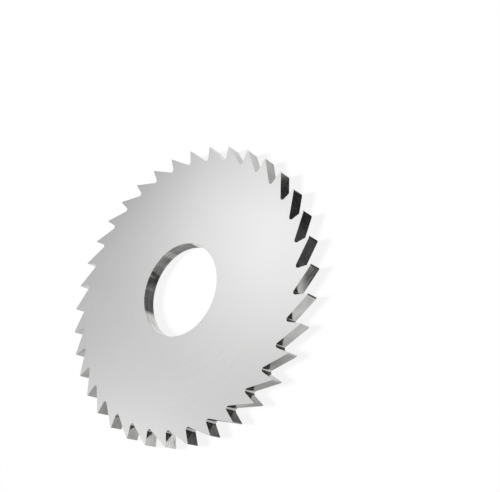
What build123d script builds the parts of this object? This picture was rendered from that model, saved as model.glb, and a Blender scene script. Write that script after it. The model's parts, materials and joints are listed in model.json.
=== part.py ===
from build123d import *
import os

# Slitting saw: one flat ground disc with a plain bore and saw teeth around its rim.
# Units are millimetres. The saw lies on its underside at Z = 0, with the bore on the Z axis.
# Seen from above, each tooth's cutting face looks counter-clockwise.

# Disc
outside_diameter = 101.6
bore_diameter = 31.75
thickness = 4.76
bore_chamfer = 0.1

# Teeth
tooth_count = 36
rake_angle = 7.0
rake_face_length = 5.85
land_width = 0.5
land_relief_angle = 15.0
gullet_radius = 0.8

outside_radius = outside_diameter / 2
bore_radius = bore_diameter / 2
tooth_pitch_angle = 360 / tooth_count

# One tooth space, from a tip on the X axis to the next tip counter-clockwise.
# The cutting face runs inwards from its tip, leaning back by the rake angle.
# The narrow land behind the next tip falls away from the tip circle, and the long
# straight back of that tooth runs on down to meet the cutting face in a round gullet.
tip = Vector(outside_radius, 0)
next_tip = tip.rotate(Axis.Z, tooth_pitch_angle)

with BuildLine() as tooth_space:
    cutting_face = PolarLine(start=tip, length=rake_face_length, angle=180 + rake_angle)
    land = PolarLine(
        start=next_tip,
        length=land_width,
        angle=tooth_pitch_angle - 90 - land_relief_angle,
    )
    Line(cutting_face @ 1, land @ 1)
    gullet_corner = tooth_space.vertices().sort_by_distance(cutting_face @ 1)[0]
    fillet(gullet_corner, radius=gullet_radius)

with BuildPart() as slitting_saw:
    with BuildSketch():
        with BuildLine():
            with PolarLocations(0, tooth_count):
                add(tooth_space.line)
        make_face()
        Circle(bore_radius, mode=Mode.SUBTRACT)
    extrude(amount=thickness)
    bore_edges = slitting_saw.edges().filter_by(GeomType.CIRCLE).group_by(SortBy.RADIUS)[-1]
    chamfer(bore_edges, length=bore_chamfer)

slitting_saw.part.label = "slitting_saw"

os.makedirs("parts", exist_ok=True)
export_step(slitting_saw.part, "parts/slitting_saw.step")
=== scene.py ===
import json
import math

import bpy
from mathutils import Matrix, Vector


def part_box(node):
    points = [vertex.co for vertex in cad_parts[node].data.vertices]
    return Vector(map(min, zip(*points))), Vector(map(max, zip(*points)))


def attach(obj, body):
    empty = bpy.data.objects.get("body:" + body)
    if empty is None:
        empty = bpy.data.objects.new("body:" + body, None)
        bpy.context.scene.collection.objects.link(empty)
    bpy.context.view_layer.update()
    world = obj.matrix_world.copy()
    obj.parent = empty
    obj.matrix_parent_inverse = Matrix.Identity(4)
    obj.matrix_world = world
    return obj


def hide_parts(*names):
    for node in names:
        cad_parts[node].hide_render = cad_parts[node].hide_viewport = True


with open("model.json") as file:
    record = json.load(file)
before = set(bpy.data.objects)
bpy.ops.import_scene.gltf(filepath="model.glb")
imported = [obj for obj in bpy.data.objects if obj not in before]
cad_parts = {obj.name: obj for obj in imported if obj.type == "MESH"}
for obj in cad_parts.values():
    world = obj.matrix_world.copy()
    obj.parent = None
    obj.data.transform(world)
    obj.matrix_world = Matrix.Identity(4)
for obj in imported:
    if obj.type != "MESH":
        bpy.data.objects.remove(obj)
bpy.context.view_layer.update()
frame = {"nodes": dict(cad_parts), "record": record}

# Slitting saw: one flat ground disc with a plain bore and saw teeth around its rim.
# Lengths are in metres. The saw lies on its underside at Z = 0, with the bore on the Z axis.

mm = 0.001

# Sizes taken from the frame
saw_low, saw_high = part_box("slitting_saw")
thickness = saw_high.z - saw_low.z
bore_mount = next(mount for mount in frame["record"]["mounts"] if mount["name"] == "bore")
bore_radius = bore_mount["dims"]["r_mm"] * mm

# Mesh
weld_distance = 0.001 * mm
flat_angle = math.radians(0.2)
sharp_angle = math.radians(40)
edge_break = 0.04 * mm
gullet_facet_area = 1.5 * mm * mm
tooth_zone_radius = 2 * bore_radius
side_face_lift = 0.99        # least upward or downward share of a side face's normal
wall_lift = 0.01             # greatest such share of a wall's normal

# Material slots of the saw, in their order
side_face, tooth_wall, bore_wall, broken_edge = range(4)

# Darkest and palest colour of each finish
side_face_tones = ((0.65, 0.65, 0.645, 1), (0.77, 0.77, 0.77, 1))
tooth_wall_tones = ((0.34, 0.34, 0.333, 1), (0.58, 0.58, 0.57, 1))
bore_wall_tones = ((0.30, 0.30, 0.29, 1), (0.84, 0.84, 0.83, 1))
broken_edge_tones = ((0.70, 0.70, 0.69, 1), (0.80, 0.80, 0.79, 1))

# Marks of the grinding
mark_depth = 0.01 * mm
ring_spacing = 0.25 * mm
cloud_size = 30 * mm
grain_size = 0.15 * mm
line_length = 9 * mm
line_spacing = 0.5 * mm
tone_length = 6 * mm
tone_height = 8 * mm
tone_contrast = 1.2
scratch_length = 3 * mm
scratch_spacing = 0.3 * mm
scratch_start = 0.45
scratch_full = 0.70
nick_size = 0.5 * mm

# Camera
camera_lens = 53.37
camera_shift = (0.0403, 0.0470)
camera_aim = Vector((10.27 * mm, -18.62 * mm, thickness))
camera_distance = 231.8 * mm
camera_azimuth = math.radians(9.0)
camera_elevation = math.radians(47.08)
camera_roll = math.radians(64.5)

# Lamp, in degrees
key_azimuth = 108
key_elevation = 45
key_softness = 14
key_strength = 4.1

# Room. A glow's angles and width are in degrees, and its strength is added to the room's tone.
room_fill = 0.12
room_tone = 0.60
room_sides = 3
room_glows = (        # azimuth, elevation, width, strength
    (75, 47.5, 6.5, 0.95),
    (108, 43, 5, 0.95),
    (74, 31.5, 6.5, -0.70),
)
overhead_glow = (20, 0.35)        # width, strength
horizon_glow = (10, 0.40)

# Floor
floor_size = 6
floor_color = (0.95, 0.95, 0.95, 1)
floor_roughness = 0.9
floor_whiteness = 0.88        # share of plain white in the floor that the camera sees
white = (1, 1, 1, 1)
black = (0, 0, 0, 1)

# Card under the floor, a glowing plane that mirror rays see through the clear floor. Its dark
# patches, lighter windows and gleam are painted reflections: painted shade and painted
# highlights on chosen walls. A spot on it is x, y, core and reach in millimetres, then its
# strength: it is full inside the core, and has faded out at the reach.
card_depth = 50 * mm
painted_shade_patches = (
    # Painted shade in the mirror image of the right-hand tooth backs and the lower cutting faces
    (42, -61.5, 50, 54.6, 0.84),
    (44, -82, 28, 52, 0.89),
    (66, -67.5, 26, 36, 0.96),
    # Half shade of the cutting faces at the lower left and the tooth backs at the lower right
    (-62, -28, 12, 46, 0.48),
    (-84, -24, 6, 22, 0.54),
    (-100, 25, 10, 40, 0.22),
    # Shade of the bore, and its dark zone
    (-22, 50, 12, 22, 0.68),
    (-8, 2, 42, 52, 0.66),
    (-22, -34, 8, 13, 0.75),
    (-14, -43, 4, 7, 0.92),
    (-9, -38, 4, 8, 0.92),
    (-1, -38, 5, 9, 0.94),
    (5, -42, 4, 8, 0.90),
    (44, -10, 8, 22, 0.84),
    # Painted shade in the mirror image of the backs and lands of the teeth at the upper right
    (94, -28, 4, 22, 0.28),
    (84, 15, 5, 12, 0.84),
)
# Painted lighter reflections: windows that thin the painted shade for chosen walls
painted_light_windows = (
    # Lighter cutting faces at the bottom
    (1, -10.5, 6, 12, 0.75),
    (5.6, -35.3, 1.5, 4.5, 0.13),
    # Lighter places in the bore
    (-44, -1, 5, 11, 0.4),
    (19.5, -40, 1.5, 6, 0.15),
    # Light tip of a tooth back at the upper right
    (91, -47.5, 1, 6, 0.5),
)
# Painted highlight: the card glows above white here, for one cutting face's mirror image
painted_highlight_spot = (-13, -54, 4, 9, 0.42)        # brightest cutting face at the bottom


class Value:
    """A shader socket that takes part in Python arithmetic."""

    def __init__(self, nodes, socket):
        self.nodes = nodes
        self.socket = socket

    def __getitem__(self, output):
        return Value(self.nodes, self.socket.node.outputs[output])

    def __add__(self, other):
        return self.nodes.math("ADD", self, other)

    def __radd__(self, other):
        return self.nodes.math("ADD", other, self)

    def __sub__(self, other):
        return self.nodes.math("SUBTRACT", self, other)

    def __rsub__(self, other):
        return self.nodes.math("SUBTRACT", other, self)

    def __mul__(self, other):
        return self.nodes.math("MULTIPLY", self, other)

    def __rmul__(self, other):
        return self.nodes.math("MULTIPLY", other, self)

    def __truediv__(self, other):
        return self.nodes.math("DIVIDE", self, other)

    def __pow__(self, other):
        return self.nodes.math("POWER", self, other)


class Nodes:
    """The node tree of a material or a world."""

    def __init__(self, tree):
        self.tree = tree

    def add(self, kind, settings, sockets):
        """Adds a node of a kind: its settings first, then the values or links of its sockets."""
        node = self.tree.nodes.new(kind)
        for name, setting in settings.items():
            setattr(node, name, setting)
        for name, value in sockets.items():
            self.feed(node.inputs[name], value)
        return Value(self, node.outputs[0])

    def feed(self, socket, value):
        if isinstance(value, Value):
            self.tree.links.new(value.socket, socket)
        else:
            socket.default_value = value

    def math(self, operation, *values):
        return self.add("ShaderNodeMath", {"operation": operation}, dict(enumerate(values)))

    def place(self):
        """The point being shaded, in the object's own coordinates."""
        coordinates = self.add("ShaderNodeTexCoord", {}, {})
        return coordinates["Object"]

    def vector(self, x, y, z):
        return self.add("ShaderNodeCombineXYZ", {}, {"X": x, "Y": y, "Z": z})

    def parts(self, vector):
        """The node that gives a vector's X, Y and Z."""
        return self.add("ShaderNodeSeparateXYZ", {}, {"Vector": vector})

    def noise(self, place, size, detail):
        """Noise from 0 to 1, mostly near 0.5, with features of a size."""
        return self.add(
            "ShaderNodeTexNoise",
            {"noise_dimensions": "3D"},
            {"Vector": place, "Scale": 1 / size, "Detail": detail, "Roughness": 0.6},
        )

    def drawn_noise(self, length, height, shift, detail):
        """Noise drawn out along the walls: its length runs level, and its height up the saw."""
        place = self.parts(self.place())
        x = place["X"] / length + shift
        y = place["Y"] / length
        z = place["Z"] / height
        return self.noise(self.vector(x, y, z), 1, detail)

    def step(self, value, start, end):
        """0 before the start, 1 after the end, and smooth between them."""
        return self.add(
            "ShaderNodeMapRange",
            {"interpolation_type": "SMOOTHSTEP"},
            {"Value": value, "From Min": start, "From Max": end},
        )

    def spot(self, center, core, reach):
        """1 near a point, and 0 beyond its reach."""
        distance = self.add(
            "ShaderNodeVectorMath", {"operation": "DISTANCE"}, {0: self.place(), 1: center}
        )
        return 1 - self.step(distance["Value"], core, reach)

    def bump(self, strength, height):
        return self.add(
            "ShaderNodeBump",
            {},
            {"Strength": strength, "Distance": mark_depth, "Height": height},
        )

    def mix_shaders(self, factor, first, second):
        return self.add("ShaderNodeMixShader", {}, {0: factor, 1: first, 2: second})

    def mix_colors(self, factor, first, second):
        mix = self.add(
            "ShaderNodeMix",
            {"data_type": "RGBA"},
            {"Factor": factor, 6: first, 7: second},
        )
        return mix[2]


def new_metal(name):
    """A bare metal material, with its nodes and its shader's sockets."""
    material = bpy.data.materials.new(name)
    material.use_nodes = True
    sockets = material.node_tree.nodes["Principled BSDF"].inputs
    sockets["Metallic"].default_value = 1.0
    return material, Nodes(material.node_tree), sockets


def side_face_finish():
    """Fine ground side faces: a soft mirror with faint rings and a slight cloudiness."""
    material, nodes, sockets = new_metal("side_face")
    place = nodes.place()
    across = nodes.parts(place)
    x, y = across["X"], across["Y"]
    radius = (x * x + y * y) ** 0.5
    rings = nodes.noise(nodes.vector(x / radius, y / radius, radius / ring_spacing), 1, 2.0)
    clouds = nodes.noise(place, cloud_size, 2.0)
    grain = nodes.noise(place, grain_size, 2.0)
    shade = 0.4 * clouds + 0.6 * rings
    nodes.feed(sockets["Base Color"], nodes.mix_colors(shade, *side_face_tones))
    nodes.feed(sockets["Roughness"], 0.16 + 0.08 * clouds + 0.05 * rings)
    nodes.feed(sockets["Normal"], nodes.bump(0.08, rings + 0.5 * grain))
    return material


def ground_wall_finish(name, tones, roughness, line_contrast, scratch_roughness, shift):
    """Ground walls, with lines, scratches and uneven tone that run along each wall."""
    material, nodes, sockets = new_metal(name)
    lines = nodes.drawn_noise(line_length, line_spacing, 0, 4.0)
    tone = nodes.drawn_noise(tone_length, tone_height, shift, 1.0)
    scratches = nodes.step(
        nodes.drawn_noise(scratch_length, scratch_spacing, 0, 3.0), scratch_start, scratch_full
    )
    shade = 0.5 + line_contrast * (lines - 0.5) + tone_contrast * (tone - 0.5)
    nodes.feed(sockets["Base Color"], nodes.mix_colors(shade, *tones))
    nodes.feed(sockets["Roughness"], roughness + 0.05 * lines + scratch_roughness * scratches)
    nodes.feed(sockets["Normal"], nodes.bump(0.15, lines))
    return material


def tooth_wall_finish():
    return ground_wall_finish(
        "tooth_wall",
        tooth_wall_tones,
        roughness=0.03,
        line_contrast=1.2,
        scratch_roughness=0.27,
        shift=0,
    )


def bore_wall_finish():
    # The tone's shift of 105 was picked to place its darker streaks: partly uneven grinding tone,
    # partly painted shade for the dark lines along the bore's rims.
    return ground_wall_finish(
        "bore_wall",
        bore_wall_tones,
        roughness=0.04,
        line_contrast=1.6,
        scratch_roughness=0,
        shift=105,
    )


def broken_edge_finish():
    """The hairline along each sharp edge, brighter than the walls beside it."""
    material, nodes, sockets = new_metal("broken_edge")
    nicks = nodes.noise(nodes.place(), nick_size, 2.0)
    nodes.feed(sockets["Base Color"], nodes.mix_colors(nicks, *broken_edge_tones))
    nodes.feed(sockets["Roughness"], 0.20 + 0.15 * nicks)
    return material


def finish_of(face):
    """The material slot of a face of the merged solid."""
    lift = abs(face.normal.z)
    if lift > side_face_lift:
        return side_face
    if lift > wall_lift:
        return broken_edge
    if face.center.xy.length > tooth_zone_radius:
        return tooth_wall
    return bore_wall


def ground_saw():
    """The saw: the solid's own form, with each sharp edge broken by a hair."""
    piece = bpy.data.objects.new("ground_saw", frame["nodes"]["slitting_saw"].data.copy())
    bpy.context.scene.collection.objects.link(piece)
    bpy.ops.object.select_all(action="DESELECT")
    piece.select_set(True)
    bpy.context.view_layer.objects.active = piece

    bpy.ops.object.mode_set(mode="EDIT")
    bpy.ops.mesh.select_all(action="SELECT")
    bpy.ops.mesh.remove_doubles(threshold=weld_distance)
    bpy.ops.mesh.dissolve_limited(angle_limit=flat_angle)
    bpy.ops.object.mode_set(mode="OBJECT")

    mesh = piece.data
    mesh.materials.clear()
    mesh.materials.append(side_face_finish())
    mesh.materials.append(tooth_wall_finish())
    mesh.materials.append(bore_wall_finish())
    mesh.materials.append(broken_edge_finish())
    for face in mesh.polygons:
        face.material_index = finish_of(face)

    bevel = piece.modifiers.new("edge_break", "BEVEL")
    bevel.width = edge_break
    bevel.segments = 2
    bevel.limit_method = "ANGLE"
    bevel.angle_limit = sharp_angle
    bevel.material = broken_edge
    bpy.ops.object.modifier_apply(modifier=bevel.name)

    for face in mesh.polygons:
        in_gullet = face.material_index == tooth_wall and face.area < gullet_facet_area
        face.use_smooth = in_gullet or face.material_index == bore_wall
    return piece


def stage_plane(name, material_name, height):
    """A large level plane with a new material, its nodes and its surface socket."""
    bpy.ops.object.select_all(action="DESELECT")
    bpy.ops.mesh.primitive_plane_add(size=floor_size, location=(0, 0, height))
    bpy.ops.object.transform_apply(location=True, rotation=False, scale=False)
    plane = bpy.context.object
    plane.name = name
    material = bpy.data.materials.new(material_name)
    material.use_nodes = True
    plane.data.materials.append(material)
    surface = material.node_tree.nodes["Material Output"].inputs["Surface"]
    return plane, Nodes(material.node_tree), surface


def studio_floor():
    """The plain pale floor. The camera sees it white, with the saw's shadow, and what a wall
    mirrors first is the card below it, with its painted reflections."""
    floor, nodes, surface = stage_plane("studio_floor", "pale_floor", 0)
    shader = nodes.tree.nodes["Principled BSDF"]
    shader.inputs["Base Color"].default_value = floor_color
    shader.inputs["Roughness"].default_value = floor_roughness
    shader.inputs["Specular IOR Level"].default_value = 0.0
    rays = nodes.add("ShaderNodeLightPath", {}, {})
    first_mirror = rays["Is Glossy Ray"] * nodes.math("LESS_THAN", rays["Glossy Depth"], 1.5)
    whiteness = floor_whiteness * (rays["Is Camera Ray"] + rays["Is Transmission Ray"])
    glow = nodes.add("ShaderNodeEmission", {}, {"Color": white, "Strength": 1.0})
    pale = nodes.mix_shaders(whiteness, Value(nodes, shader.outputs[0]), glow)
    clear = nodes.add("ShaderNodeBsdfTransparent", {}, {})
    nodes.feed(surface, nodes.mix_shaders(first_mirror, pale, clear))
    return floor


def card_spot(nodes, x, y, core, reach):
    center = Vector((x * mm, y * mm, -card_depth))
    return nodes.spot(center, core * mm, reach * mm)


def mirrored_card():
    """The pale card under the floor, a glowing plane that mirror rays see through the clear floor. Its
    soft dark patches, lighter windows and gleam are painted shade and painted highlights in the walls'
    mirror images.
    """
    card, nodes, surface = stage_plane("mirrored_card", "pale_card", -card_depth)
    shade = 0.0
    for *spot, darkness in painted_shade_patches:
        shade = nodes.math("MAXIMUM", shade, darkness * card_spot(nodes, *spot))
    for *spot, lightness in painted_light_windows:
        shade = shade * (1 - lightness * card_spot(nodes, *spot))
    color = nodes.mix_colors(shade, white, black)
    *spot, gain = painted_highlight_spot
    strength = 1 + gain * card_spot(nodes, *spot)
    nodes.feed(surface, nodes.add("ShaderNodeEmission", {}, {"Color": color, "Strength": strength}))
    return card


def direction(azimuth, elevation):
    """A unit vector. Azimuth is counted from +X, counter-clockwise, and both are in degrees."""
    turn = math.radians(azimuth)
    height = math.radians(elevation)
    return Vector((
        math.cos(height) * math.cos(turn),
        math.cos(height) * math.sin(turn),
        math.sin(height),
    ))


def key_light():
    """A distant soft lamp that gives the saw's shadow. Metal doesn't mirror it."""
    lamp = bpy.data.lights.new("key_light", "SUN")
    lamp.energy = key_strength
    lamp.angle = math.radians(key_softness)
    light = bpy.data.objects.new("key_light", lamp)
    bpy.context.scene.collection.objects.link(light)
    light.visible_glossy = False
    light.rotation_euler = direction(key_azimuth, key_elevation).to_track_quat("Z", "Y").to_euler()


def studio_world():
    """A plain pale room. Metal and the camera see its soft glows, and other surfaces only its fill."""
    world = bpy.data.worlds.new("studio")
    bpy.context.scene.world = world
    world.use_nodes = True
    nodes = Nodes(world.node_tree)
    look = nodes.add("ShaderNodeTexCoord", {}, {})["Generated"]
    height = nodes.parts(look)["Z"]
    overhead_width, overhead_strength = overhead_glow
    horizon_width, horizon_strength = horizon_glow
    overhead = nodes.math("EXPONENT", (height - 1) / math.radians(overhead_width) ** 2)
    horizon = nodes.math("EXPONENT", height * height / (-2 * math.radians(horizon_width) ** 2))
    backdrop = room_tone + overhead_strength * overhead + horizon_strength * horizon
    for side in range(room_sides):
        for azimuth, elevation, width, strength in room_glows:
            towards = direction(azimuth + side * 360 / room_sides, elevation)
            closeness = nodes.add(
                "ShaderNodeVectorMath", {"operation": "DOT_PRODUCT"}, {0: look, 1: towards}
            )["Value"]
            spread = math.radians(width) ** 2
            backdrop = backdrop + strength * nodes.math("EXPONENT", (closeness - 1) / spread)
    rays = nodes.add("ShaderNodeLightPath", {}, {})
    sees = rays["Is Camera Ray"] + rays["Is Glossy Ray"] + rays["Is Transmission Ray"]
    sees = nodes.math("MINIMUM", sees, 1.0)
    strength = room_fill + sees * (nodes.math("MAXIMUM", backdrop, 0.0) - room_fill)
    background = world.node_tree.nodes["Background"]
    nodes.feed(background.inputs["Strength"], strength)
    background.inputs["Color"].default_value = white


def studio_camera():
    """The camera at the photograph's viewing angle."""
    camera = bpy.data.cameras.new("camera")
    camera.lens = camera_lens
    camera.shift_x, camera.shift_y = camera_shift
    holder = bpy.data.objects.new("camera", camera)
    bpy.context.scene.collection.objects.link(holder)
    view = Vector((
        math.sin(camera_azimuth) * math.cos(camera_elevation),
        math.cos(camera_azimuth) * math.cos(camera_elevation),
        -math.sin(camera_elevation),
    ))
    upright = view.to_track_quat("-Z", "Y").to_matrix()
    holder.rotation_euler = (upright @ Matrix.Rotation(-camera_roll, 3, "Z")).to_euler()
    holder.location = camera_aim - view * camera_distance
    bpy.context.scene.camera = holder


bpy.context.scene.view_settings.view_transform = "Standard"
studio_camera()
studio_world()
studio_floor()
mirrored_card()
key_light()

saw = ground_saw()
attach(saw, "root")
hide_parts("slitting_saw")
